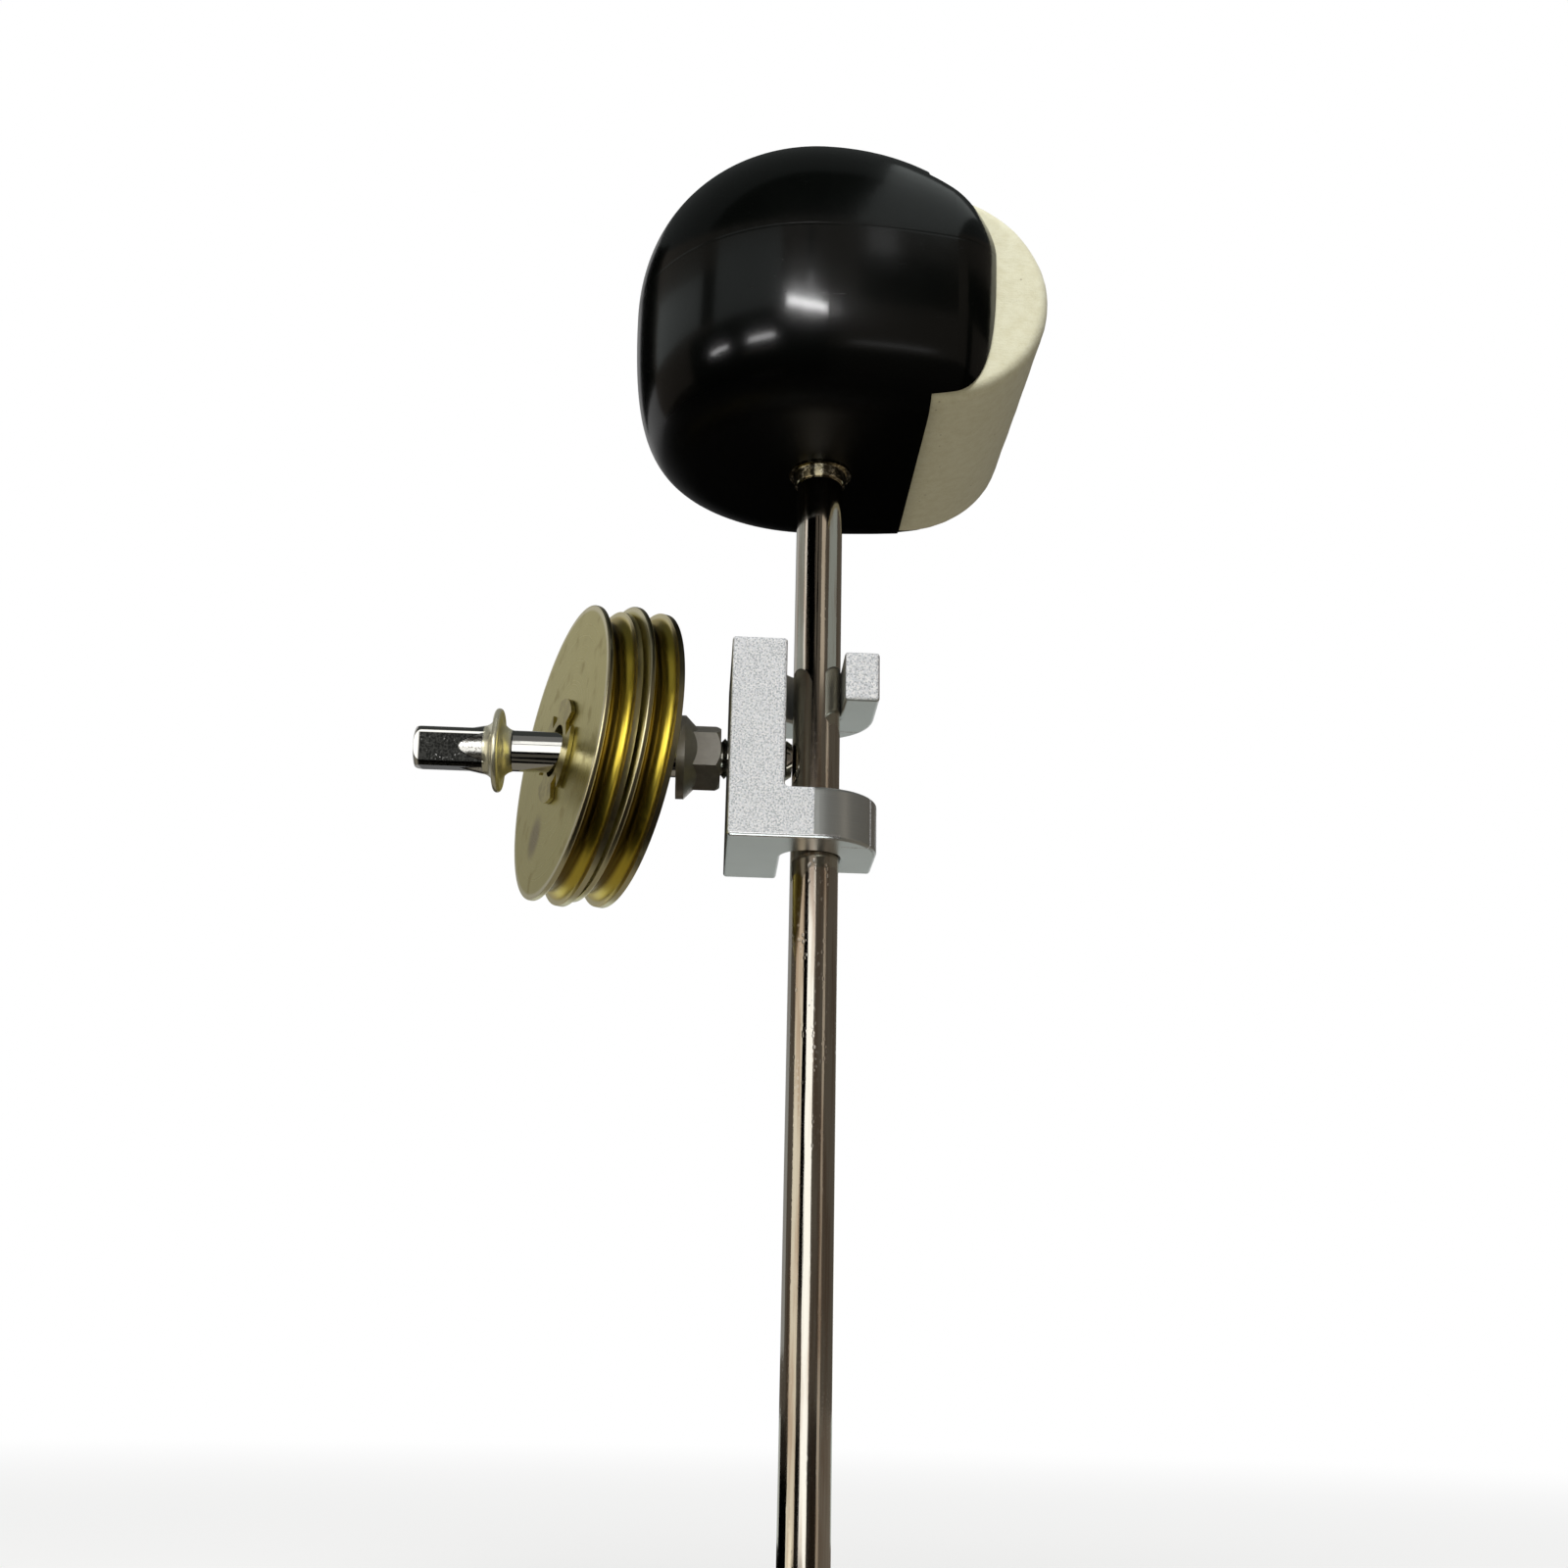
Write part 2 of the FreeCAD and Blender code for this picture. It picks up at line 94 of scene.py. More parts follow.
right = Vector((math.cos(azimuth), -math.sin(azimuth), 0))
ahead = Vector((math.sin(azimuth), math.cos(azimuth), 0))
up = Vector((0, 0, 1))
view_line = ahead * math.cos(elevation) + up * math.sin(elevation)
view_up = up * math.cos(elevation) - ahead * math.sin(elevation)
turned_right = right * math.cos(roll) - view_up * math.sin(roll)
turned_up = right * math.sin(roll) + view_up * math.cos(roll)

camera_data = bpy.data.cameras.new("photo_camera")
camera_data.sensor_width = sensor_width
camera_data.lens = sensor_width * focal_pixels / photo_width
camera_data.clip_start, camera_data.clip_end = 0.005, 100.0
camera = bpy.data.objects.new("photo_camera", camera_data)
scene.collection.objects.link(camera)
camera_place = -right * side_step - ahead * standing_back + up * lens_height
rows = zip(turned_right, turned_up, -view_line, camera_place)
camera.matrix_world = Matrix([*map(list, rows), [0, 0, 0, 1]])
scene.camera = camera
scene.view_settings.view_transform = "Standard"
print("camera at", in_mm(camera_place), "mm, lens", camera_data.lens, "mm")

# %% [markdown]
# ## Shader maths as Python
# A material is a net of nodes, and most of its links are plain sums. The class below wraps one
# socket, so that `1 - mask * 0.5` adds the Math nodes by itself. Any other node comes from its
# one method `node`, which sets the node's own settings first and its sockets after that.


# %% The signal class
class Signal:
    """One output socket of a shader node that can stand in a Python expression."""

    def __init__(self, socket):
        self.socket = socket
        self.tree = socket.id_data

    def node(self, kind, settings=None, sockets=None, out=0):
        """Adds a node of this kind in the same tree and returns one of its outputs."""
        made = self.tree.nodes.new("ShaderNode" + kind)
        for name, value in (settings or {}).items():
            setattr(made, name, value)
        for name, value in (sockets or {}).items():
            if isinstance(value, Signal):
                self.tree.links.new(value.socket, made.inputs[name])
            else:
                made.inputs[name].default_value = value
        return Signal(made.outputs[out])

    def maths(self, operation, first, second):
        """Adds a Math node for two numbers or number signals."""
        return self.node("Math", {"operation": operation}, {0: first, 1: second})

    def __add__(self, other):
        return self.maths("ADD", self, other)

    def __sub__(self, other):
        return self.maths("SUBTRACT", self, other)

    def __rsub__(self, other):
        return self.maths("SUBTRACT", other, self)

    def __mul__(self, other):
        return self.maths("MULTIPLY", self, other)

    def __abs__(self):
        return self.maths("ABSOLUTE", self, 0.0)

    __radd__ = __add__
    __rmul__ = __mul__


# %% Ramps, colours and coordinates
def step(signal, low, high, to_low=0.0, to_high=1.0):
    """Smooth ramp: to_low below low, to_high above high, and an S-shaped curve between."""
    sockets = {0: signal, 1: low, 2: high, 3: to_low, 4: to_high}
    return signal.node("MapRange", {"interpolation_type": "SMOOTHSTEP"}, sockets)


def fade(signal, low, high):
    """The same ramp downwards: 1 below low and 0 above high."""
    return step(signal, low, high, 1.0, 0.0)


def tint(share, colour, other):
    """Mixes two colours: all of the first at share 0 and all of the other at share 1."""
    sockets = {0: share}
    for socket, value in ((6, colour), (7, other)):
        sockets[socket] = value if isinstance(value, Signal) else (*value, 1.0)
    return share.node("Mix", {"data_type": "RGBA"}, sockets, out=2)


def part_of(place, axis):
    """One coordinate of a vector signal, by the axis's letter."""
    return place.node("SeparateXYZ", {}, {0: place}, out=axis)


def vector_maths(operation, place, other=(0, 0, 0)):
    """Vector Math: a length, a distance or a dot product is a number, the rest are vectors."""
    is_number = operation in ("LENGTH", "DISTANCE", "DOT_PRODUCT")
    sockets = {0: place, 1: tuple(other)}
    out = "Value" if is_number else "Vector"
    return place.node("VectorMath", {"operation": operation}, sockets, out)


# %% Noise and bump
def counted(place, size, stretch):
    """Coordinates counted in lumps of size metres, drawn out along the axes by stretch."""
    return vector_maths("MULTIPLY", place, [1 / (size * share) for share in stretch])


def grain(place, size, stretch=(1, 1, 1), detail=3.0, rough=0.55):
    """Cloudy noise between 0 and 1 whose lumps are about size metres wide."""
    sockets = {"Scale": 1.0, "Detail": detail, "Roughness": rough}
    return place.node("TexNoise", {}, {"Vector": counted(place, size, stretch), **sockets})


def cells(place, size, stretch=(1, 1, 1)):
    """Distance to the nearest of many scattered points that are about size metres apart."""
    sockets = {"Vector": counted(place, size, stretch), "Scale": 1.0}
    return place.node("TexVoronoi", {}, sockets)


def bump(height, depth, strength=1.0, below=None):
    """Normal of a surface whose height signal, from 0 to 1, stands for depth metres.
    It can lie on top of another bump, the one below."""
    sockets = {"Height": height, "Distance": depth, "Strength": strength}
    if below:
        sockets["Normal"] = below
    return height.node("Bump", {}, sockets, out="Normal")


# %% Materials
def start_finish(name, **constants):
    """New material. Returns its shader and the signal of the Object coordinates, in metres."""
    material = bpy.data.materials.new(name)
    material.use_nodes = True
    shader = material.node_tree.nodes["Principled BSDF"]
    for socket, value in constants.items():
        shader.inputs[socket.replace("_", " ").title()].default_value = value
    coordinates = material.node_tree.nodes.new("ShaderNodeTexCoord")
    return shader, Signal(coordinates.outputs["Object"])


def feed(shader, **signals):
    """Links signals to the shader's sockets, such as base_color or roughness."""
    for socket, signal in signals.items():
        target = shader.inputs[socket.replace("_", " ").title()]
        signal.tree.links.new(signal.socket, target)


def finished(shader):
    """The material that a shader belongs to."""
    return next(made for made in bpy.data.materials if made.node_tree == shader.id_data)


def coat(shader, *names):
    """Gives CAD nodes the shader's material."""
    material = finished(shader)
    for name in names:
        nodes[name].data.materials.clear()
        nodes[name].data.materials.append(material)
    print(material.name, "on", ", ".join(names), "with", len(shader.id_data.nodes), "nodes")


# %% [markdown]
# ## Stage and light
# The photograph is a cut-out on pure white, so the world and the floor are white to the camera
# and to mirrors. To soft light the world is only a dim fill and the floor a dim brown, so that
# the undersides stay dark. Near the beater the floor keeps half of its own shading, and with it
# the shadow. One large softbox above the camera is the key light, as in the photograph, and a
# weaker one behind lights the side that the photograph doesn't show.


# %% World
def seen_directly(signal):
    """1 for camera, glossy and transmission rays, and 0 for the rays that carry soft light."""
    kinds = ("Is Camera Ray", "Is Glossy Ray", "Is Transmission Ray")
    camera_ray, glossy_ray, clear_ray = (signal.node("LightPath", out=kind) for kind in kinds)
    camera_or_glossy = signal.maths("MAXIMUM", camera_ray, glossy_ray)
    return signal.maths("MAXIMUM", camera_or_glossy, clear_ray)


fill_level = 0.16
world = bpy.data.worlds.new("white_studio")
world.use_nodes = True
scene.world = world
background = world.node_tree.nodes["Background"]
background.inputs["Color"].default_value = (1, 1, 1, 1)
direct = seen_directly(Signal(background.outputs[0]))
world_level = fill_level + direct * (1 - fill_level)
world.node_tree.links.new(world_level.socket, background.inputs["Strength"])
print("world at 1 for the camera and", fill_level, "for soft light")

# %% Floor
floor_half, floor_gap = 6.0, 0.2 * MM
shadow_reach, white_reach, shadow_share = 0.12, 0.9, 0.5
dim_brown, dim_tan, pale = (0.29, 0.265, 0.215), (0.33, 0.30, 0.25), (0.9, 0.9, 0.88)

floor_mesh = bpy.data.meshes.new("floor")
corners = np.array([(-1, -1, 0), (1, -1, 0), (1, 1, 0), (-1, 1, 0)]) * floor_half
floor_mesh.from_pydata(corners - (0, 0, floor_gap), [], [(0, 1, 2, 3)])
floor = bpy.data.objects.new("floor", floor_mesh)
scene.collection.objects.link(floor)

floor_shader, place = start_finish("pale_floor", roughness=0.9)
direct = seen_directly(place)
dim_tone = tint(grain(place, 0.4), dim_brown, dim_tan)
feed(floor_shader, base_color=tint(direct, dim_tone, pale))
glow = place.node("Emission", {}, {"Color": (1, 1, 1, 1), "Strength": 1.0})
from_rod = vector_maths("LENGTH", place)
share = direct * step(from_rod, shadow_reach, white_reach, shadow_share, 1.0)
shaded = Signal(floor_shader.outputs[0])
seen = place.node("MixShader", {}, {0: share, 1: shaded, 2: glow})
floor_output = floor_shader.id_data.nodes["Material Output"]
floor_shader.id_data.links.new(seen.socket, floor_output.inputs["Surface"])
floor_mesh.materials.append(finished(floor_shader))
print("floor", 2 * floor_half, "m wide")


# %% Softboxes
def softbox(name, turn, rise, distance, width, height, power):
    """Area lamp at an azimuth and elevation in degrees, aimed at the middle of the beater."""
    a, e = math.radians(turn), math.radians(rise)
    aim = (cad_low + cad_high) / 2
    away = Vector((math.sin(a) * math.cos(e), -math.cos(a) * math.cos(e), math.sin(e)))
    data = bpy.data.lights.new(name, "AREA")
    data.shape = "RECTANGLE"
    data.size, data.size_y, data.energy = width, height, power
    lamp = bpy.data.objects.new(name, data)
    lamp.location = aim + away * distance
    lamp.rotation_mode = "QUATERNION"
    lamp.rotation_quaternion = (-away).to_track_quat("-Z", "Y")
    lamp.visible_glossy = False
    scene.collection.objects.link(lamp)
    print(name, "at", [round(v, 2) for v in lamp.location], "m")


softbox("key_softbox", -8, 50, 1.0, 0.75, 0.45, 11.0)
softbox("back_softbox", 170, 55, 1.1, 0.8, 0.6, 4.0)

# %% [markdown]
# ## Cards
# Polished metal and black gloss show what stands round them. On an all-white stage they would
# look flat, so a photographer stands dark and pale cards just outside the picture. Each card
# here is a patch of a cylinder, the floor or a ceiling that only mirrors can see. Blender's
# light linking keeps a card for the pieces it was cut for, as a photographer shades it off
# from all the others.


# %% Card builder
def grid_faces(across, along):
    """Corner numbers of the quads of a grid with along points in each of its across rows."""
    row, column = np.meshgrid(np.arange(across - 1), np.arange(along - 1), indexing="ij")
    first = (row * along + column).ravel()
    return np.stack([first, first + along, first + along + 1, first + 1], axis=1)


receivers = {}
rays_without_cards = ("camera", "diffuse", "transmission", "volume_scatter", "shadow")


def show_to_mirrors(name, points, level, colour, seen_by):
    """Makes a card of a grid of points, lit evenly, that only the gloss of some CAD nodes sees.
    With no nodes named, all gloss sees it."""
    mesh = bpy.data.meshes.new(name)
    mesh.from_pydata(points.reshape(-1, 3), [], grid_faces(*points.shape[:2]).tolist())
    material = bpy.data.materials.new(name)
    material.use_nodes = True
    tree = material.node_tree
    tree.nodes.remove(tree.nodes["Principled BSDF"])
    surface = tree.nodes["Material Output"].inputs["Surface"]
    sockets = {"Color": (*colour, 1), "Strength": level}
    tree.links.new(Signal(surface).node("Emission", {}, sockets).socket, surface)
    mesh.materials.append(material)
    made = bpy.data.objects.new(name, mesh)
    scene.collection.objects.link(made)
    for ray in rays_without_cards:
        setattr(made, "visible_" + ray, False)
    if seen_by and seen_by not in receivers:
        receivers[seen_by] = bpy.data.collections.new("light_on_" + seen_by[0])
        for node in seen_by:
            receivers[seen_by].objects.link(nodes[node])
    made.light_linking.receiver_collection = receivers.get(seen_by)
    print(name, "at level", level, "for", len(seen_by) or "all", "nodes")


# %% Card shapes
card_columns, card_rows, lid_points = 49, 5, 9


def fan(turns, others):
    """Grids of the turn about the rod, from degrees, and of a second value, such as height."""
    turn = np.radians(np.linspace(*turns, card_columns))
    return np.meshgrid(turn, np.linspace(*others, card_rows), indexing="ij")


def wall(name, turns, heights, distance, level, colour=(1, 1, 1), seen_by=(), drop=0.0):
    """Upright card: x = distance sin(turn), y = -distance cos(turn), z between two heights
    in metres, with its right end lower than its left end by drop."""
    turn, z = fan(turns, heights)
    z = z - np.linspace(0, drop, card_columns)[:, None]
    points = np.stack([distance * np.sin(turn), -distance * np.cos(turn), z], axis=-1)
    show_to_mirrors(name, points, level, colour, seen_by)


def mat(name, turns, reach, lift, level, colour=(1, 1, 1), seen_by=()):
    """Card on the floor: x = r sin(turn), y = -r cos(turn) for r between two radii, lifted
    a little, so that one mat can lie on another."""
    turn, r = fan(turns, reach)
    points = np.stack([r * np.sin(turn), -r * np.cos(turn), np.full_like(r, lift)], axis=-1)
    show_to_mirrors(name, points, level, colour, seen_by)


def lid(name, across, along, height, level, colour=(1, 1, 1), seen_by=()):
    """Ceiling card: x and y between two values each, at one height, all in metres."""
    sides = (np.linspace(*ends, lid_points) for ends in (across, along))
    x, y = np.meshgrid(*sides, indexing="ij")
    points = np.stack([x, y, np.full_like(x, height)], axis=-1)
    show_to_mirrors(name, points, level, colour, seen_by)


# %% Dark surroundings
warm, cream, cool = (1.0, 0.86, 0.72), (1.0, 0.92, 0.78), (0.93, 1.0, 0.98)
all_round = (-180, 180)
wall("dark_wall", all_round, (0, 1.5), 1.6, 0.10, warm)
lid("dark_ceiling", (-1.6, 1.6), (-1.6, 1.6), 1.5, 0.05, cool)
mat("dark_mat", all_round, (0.004, 1.59), 0.05 * MM, 0.02, warm)

# %% Groups of pieces that share cards
head_parts = ("head_body", "head_cap")
sheave_parts = (
    "outer_disc", "outer_groove_pan", "inner_disc", "inner_groove_pan",
    "outer_hub_bush", "inner_hub_bush",
)
clamp_parts = ("rod", "rod_clamp", "flange_nut", "rod_ferrule")
all_metal = (*clamp_parts, *sheave_parts, "key_screw")
print(len(all_metal), "metal pieces and", len(head_parts), "of the head see cards")

# %% Cards that stripe the rod below the clamp, seen in all the metal
far_off, foot_reach, rod_reach, foot_lift = 1.5, 0.36, 0.006, 0.1 * MM


def rod_card(name, turns, height, level, colour=(1, 1, 1), seen_by=all_metal):
    """Card a metre and a half off, upright to a height and on along the floor to the rod.
    The last stretch of it is for the rod alone."""
    wall(name, turns, (0, height), far_off, level, colour, seen_by)
    far_foot, near_foot = (foot_reach, far_off), (rod_reach, foot_reach)
    mat(name + "_far_foot", turns, far_foot, foot_lift, level, colour, seen_by)
    mat(name + "_foot", turns, near_foot, foot_lift, level, colour, ("rod",))


rod_card("rod_white_card", (-9.4, 5), 0.53, 1.5)
rod_card("rod_left_card", (-27, -9.4), 0.53, 1.5)
rod_card("rod_cream_card", (-86, -48), 0.65, 0.95, cream)
rod_card("rod_thin_card", (47, 58), 0.71, 0.45, warm, (*clamp_parts, "key_screw"))

# %% Cards that stripe the rod above the clamp
upper = (0.73, 1.1)
wall("upper_left_card", (-120, -78), upper, far_off, 0.38, cool, ("rod", *head_parts))
wall("upper_white_line", (-78, -66), upper, far_off, 1.1, seen_by=("rod",))
wall("upper_light_line", (10, 30), upper, far_off, 0.55, warm, ("rod",))
wall("upper_right_card", (49, 100), upper, far_off, 0.32, cool, ("rod",))

# %% Lamps and a pale ceiling for the black head
close_by = 0.2
wall("head_lamp", (-21, 2), (0.51, 0.57), 1.0, 30.0, seen_by=head_parts, drop=0.07)
wall("head_line", (12, 18), (1.0, 1.3), 1.55, 0.9, seen_by=head_parts)
wall("left_lamp_a", (-66, -55), (0.193, 0.201), close_by, 9.0, seen_by=head_parts)
wall("left_lamp_b", (-42, -27), (0.190, 0.199), close_by, 10.0, seen_by=head_parts)
wall("low_right_lamp", (8, 24), (0.171, 0.181), close_by, 0.6, seen_by=head_parts)
wall("left_dim", (-64, -24), (0.245, 0.32), close_by, 0.3, cool, head_parts)
lid("pale_ceiling", (0.22, 0.75), (-1.35, 0.35), 1.25, 0.4, cool, head_parts)

# %% Cards for the screw and the clamp
sheaves_and_screw = (*sheave_parts, "key_screw")
clamp_and_sheaves = ("rod_clamp", "rod", *sheave_parts)
shank_turns, neck_turns = (-9.4, -5.5), (-48, -27)
low_lift, mid_lift, high_lift = 0.1 * MM, 0.15 * MM, 0.2 * MM
shank_seers = ("key_screw", *head_parts)
wall("shank_card", shank_turns, (0.53, 0.95), far_off, 1.5, seen_by=shank_seers)
wall("shank_high_card", shank_turns, (0.95, 1.4), far_off, 1.5, seen_by=("key_screw",))
mat("shank_mat", (-170, -88), (0.03, 0.6), mid_lift, 0.2, cream, sheaves_and_screw)
mat("shank_front_mat", (-60, -9), (0.03, 0.2), mid_lift, 0.07, cream, ("key_screw",))
mat("neck_mat", neck_turns, (0.3, 1.5), low_lift, 1.3, seen_by=("key_screw",))
mat("clamp_mat", (140, 220), (0.25, 1.55), high_lift, 0.6, cool, clamp_and_sheaves)
mat("edge_mat", (-40, 30), (0.02, 0.12), high_lift, 2.0, cool, ("rod_clamp",))

# %% Cards for the sheaves
groove_seers = (*sheave_parts, "rod_clamp", "key_screw")
disc_seers = (*sheave_parts, "rod", "key_screw")
disc_and_head = (*disc_seers, *head_parts)
wall("groove_card", neck_turns, (0.1, 0.65), far_off, 3.2, seen_by=groove_seers)
wall("groove_high_card", (-66, -20), (0.65, 1.0), far_off, 1.4, seen_by=sheave_parts)
mat("petal_mat", (-76, -58), (0.17, 0.3), mid_lift, 1.3, cream, ("outer_hub_bush", "rod"))
lid("groove_sky", (-1.5, 0.8), (-1.5, -0.3), 1.49, 0.17, seen_by=sheaves_and_screw)
wall("disc_card_low", (-152, -122), (0.05, 0.43), 0.8, 0.32, seen_by=disc_and_head)
wall("disc_card_high", (-152, -122), (0.43, 0.9), 0.8, 0.48, seen_by=disc_seers)
wall("back_card", (-178, -152), (0.05, 0.9), 0.8, 0.32, seen_by=disc_and_head)

# %% Cards behind, for the views from the back
wall("rear_card", (152, 181), (0, 0.6), far_off, 1.0, seen_by=all_metal)
mat("rear_mat", (60, 200), (0.05, 1.55), 0.12 * MM, 0.18, warm, all_metal)
print(len(receivers), "groups of pieces have cards of their own")

# %% [markdown]
# ## The black shell
# The head is moulded in black plastic and polished. Its colour hardly shows: what one sees is
# gloss, a faint waviness from the mould, and hair-fine scratches from handling. Those sit in
# the roughness and in a very shallow bump, so that highlights break up a little at close
# range. The flat underside was never polished, so a mask by height makes it matt.

# %% Shell finish
shell, place = start_finish("polished_black_shell", coat_roughness=0.11)
shell.inputs["Specular IOR Level"].default_value = 0.42
deep_black, dusty_black = (0.0012, 0.0016, 0.0013), (0.02, 0.022, 0.02)
underside, seam = (corner.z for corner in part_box("head_body"))
height = part_of(place, "Z")
haze = grain(place, 14 * MM)
dust = fade(cells(place, 1.6 * MM), 0.03, 0.07) * step(grain(place, 5 * MM), 0.52, 0.62)
scratches = step(grain(place, 0.5 * MM, (14, 1, 1), 2.0), 0.66, 0.74)
scratches = scratches * step(grain(place, 8 * MM), 0.5, 0.6)
waviness = grain(place, 2.4 * MM, detail=1.0)
parting = fade(abs(height - seam), 0.0, 0.3 * MM)
matt = fade(height, underside + 1.0 * MM, underside + 4.0 * MM)
feed(
    shell,
    base_color=tint(dust * 0.3 + haze * 0.06, deep_black, dusty_black),
    roughness=0.15 + haze * 0.08 + scratches * 0.12 + matt * 0.3,
    coat_weight=(0.50 - haze * 0.2) * (1 - matt),
    normal=bump(waviness * 0.1 + scratches * 0.02 - parting * 0.3, 0.08 * MM, 0.8),
)
print("parting line at", round(seam / MM, 1), "mm")
coat(shell, "head_body", "head_cap")

# %% [markdown]
# ## Plated rod
# The rod is drawn steel with nickel plating. Drawing leaves fine lines along the rod, and the
# plating has worn to warm brown streaks and small pits, mostly in the stretch just below the
# clamp. Noise that is drawn out along Z gives the lines, and cells give the pits.

# %% Rod finish
rod_shader, place = start_finish("worn_rod_plating", metallic=1.0)
nickel, brown_wear, bright_pit = (0.66, 0.63, 0.55), (0.46, 0.37, 0.29), (0.74, 0.72, 0.68)
height = part_of(place, "Z")
lines = grain(place, 0.25 * MM, (1, 1, 90), 2.0)
streaks = step(grain(place, 1.3 * MM, (1, 1, 22), 4.0), 0.42, 0.68)
worn_band = step(height, 60 * MM, 100 * MM) * fade(height, 112 * MM, 116 * MM)
pits = fade(cells(place, 0.55 * MM, (1, 1, 1.6)), 0.2, 0.42)
pits = pits * step(grain(place, 1.5 * MM, (1, 1, 5)), 0.46, 0.6)
pitted = pits * (0.15 + worn_band * 0.85)
feed(
    rod_shader,
    base_color=tint(pitted * 0.7, tint(streaks, nickel, brown_wear), bright_pit),
    roughness=0.05 + lines * 0.05 + streaks * 0.07 + pitted * 0.14,
    normal=bump(lines * 0.35 - pitted * 0.65, 0.03 * MM, 0.7),
)
coat(rod_shader, "rod")

# %% [markdown]
# ## Clamp block
# The clamp is cut from aluminium. Its front and back are blasted and sparkle, and the machined
# faces between them and the hooks' rounded ends are smooth and greyer, with fine tool lines.
# Where a face is blasted can be told from its place alone: at the two largest depths left of
# the rod, and on the upper hook's finger. The lowest edge of the front is tinted pale, a
# painted highlight.

# %% Where the clamp is blasted
clamp_shader, place = start_finish("blasted_clamp")
low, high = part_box("rod_clamp")
half_deep = (high.y - low.y) / 2
finger_deep = 6.9 * MM
across, height = part_of(place, "X"), part_of(place, "Z")
depth = abs(part_of(place, "Y") - (low.y + high.y) / 2)
blasted = step(depth, half_deep - 0.30 * MM, half_deep - 0.16 * MM)
blasted = blasted * fade(across, -1.0 * MM, -0.7 * MM)
finger = step(across, high.x - 5.4 * MM, high.x - 5.2 * MM)
finger_end = finger * fade(abs(depth - finger_deep), 0.10 * MM, 0.22 * MM)
# Painted highlight: a band along the lowest edge is tinted pale.
edge = fade(height, low.z + 0.45 * MM, low.z + 0.6 * MM)
edge = edge * step(depth, half_deep - 0.6 * MM, half_deep - 0.5 * MM)
blasted = blasted.maths("MAXIMUM", blasted, finger_end) * (1 - edge)
print("clamp", round(2 * half_deep / MM, 1), "mm deep")

# %% Clamp finish
blast_grey, blast_pale, glint_white = (0.40, 0.43, 0.45), (0.88, 0.90, 0.93), (1.0, 1.0, 1.0)
cut_grey, cut_pale, edge_highlight = (0.50, 0.52, 0.50), (0.64, 0.66, 0.63), (0.95, 0.96, 0.96)
# Painted glints: the sparkle and the white flecks lighten the blasted faces' colour.
sparkle = step(cells(place, 0.30 * MM), 0.2, 0.7)
glints = step(grain(place, 0.26 * MM, detail=2.0), 0.48, 0.60)
tool_lines = grain(place, 0.16 * MM, (40, 40, 1), 2.0)
cloud = grain(place, 5 * MM)
blast_tone = tint(sparkle * 0.7 + cloud * 0.3, blast_grey, blast_pale)
blast_tone = tint(glints, blast_tone, glint_white)
machined_tone = tint(tool_lines * 0.5 + cloud * 0.5, cut_grey, cut_pale)
# The lowest edge gets the painted highlight's pale tone.
machined_tone = tint(edge, machined_tone, edge_highlight)
feed(
    clamp_shader,
    base_color=tint(blasted, machined_tone, blast_tone),
    metallic=0.85 - blasted * 0.50,
    roughness=0.28 + blasted * 0.20 + tool_lines * 0.08 - edge * 0.08,
    normal=bump(sparkle * blasted * 0.8 + tool_lines * (1 - blasted) * 0.2, 0.05 * MM, 0.7),
)
coat(clamp_shader, "rod_clamp")

# %% [markdown]
# ## Sheaves
# Each sheave is two pressed steel sheets with a yellow passivated plating, which looks like
# pale brass on the flat. The groove is tinted a deeper gold, a painted reflection of the light
# that bounces twice there, and a painted shade darkens the groove's foot and the groove's wall
# by the disc. The finish measures the distance from the leaning axis with Vector Math, so that
# the turning marks follow the disc, and a broad bump makes the groove's walls flatter.

# %% Places on a sheave
lean = {
    joint["name"]: (Vector(joint["pos_m"]), Vector(joint["axis"]).normalized())
    for joint in frame["joints"]
    if "spin" in joint["name"]
}


def from_axis(place, point, direction):
    """Distance of each surface point from a line, and how far along the line it lies."""
    offset = vector_maths("SUBTRACT", place, point)
    away = vector_maths("LENGTH", vector_maths("CROSS_PRODUCT", offset, direction))
    return away, vector_maths("DOT_PRODUCT", offset, direction)


def spot(place, middle, radius):
    """Soft round spot: 1 at its middle and 0 outside its radius."""
    return fade(vector_maths("DISTANCE", place, middle), radius * 0.35, radius)


print("sheaves turn on", ", ".join(lean))

# %% Sheave finish
dull_brass, pale_brass = (0.55, 0.48, 0.12), (0.65, 0.57, 0.18)
deep_gold, pale_gold = (0.86, 0.63, 0.06), (0.94, 0.75, 0.11)
# On the next line, the pale rim colour is a painted highlight and the dark groove colour a
# painted shade.
brown_stain, rim_highlight, painted_groove_shade = (0.38, 0.28, 0.08), (0.95, 0.88, 0.60), (0.10, 0.055, 0.012)
rings_per_metre, groove_middle, wall_slope = 5200.0, 1.65 * MM, -0.27 / MM


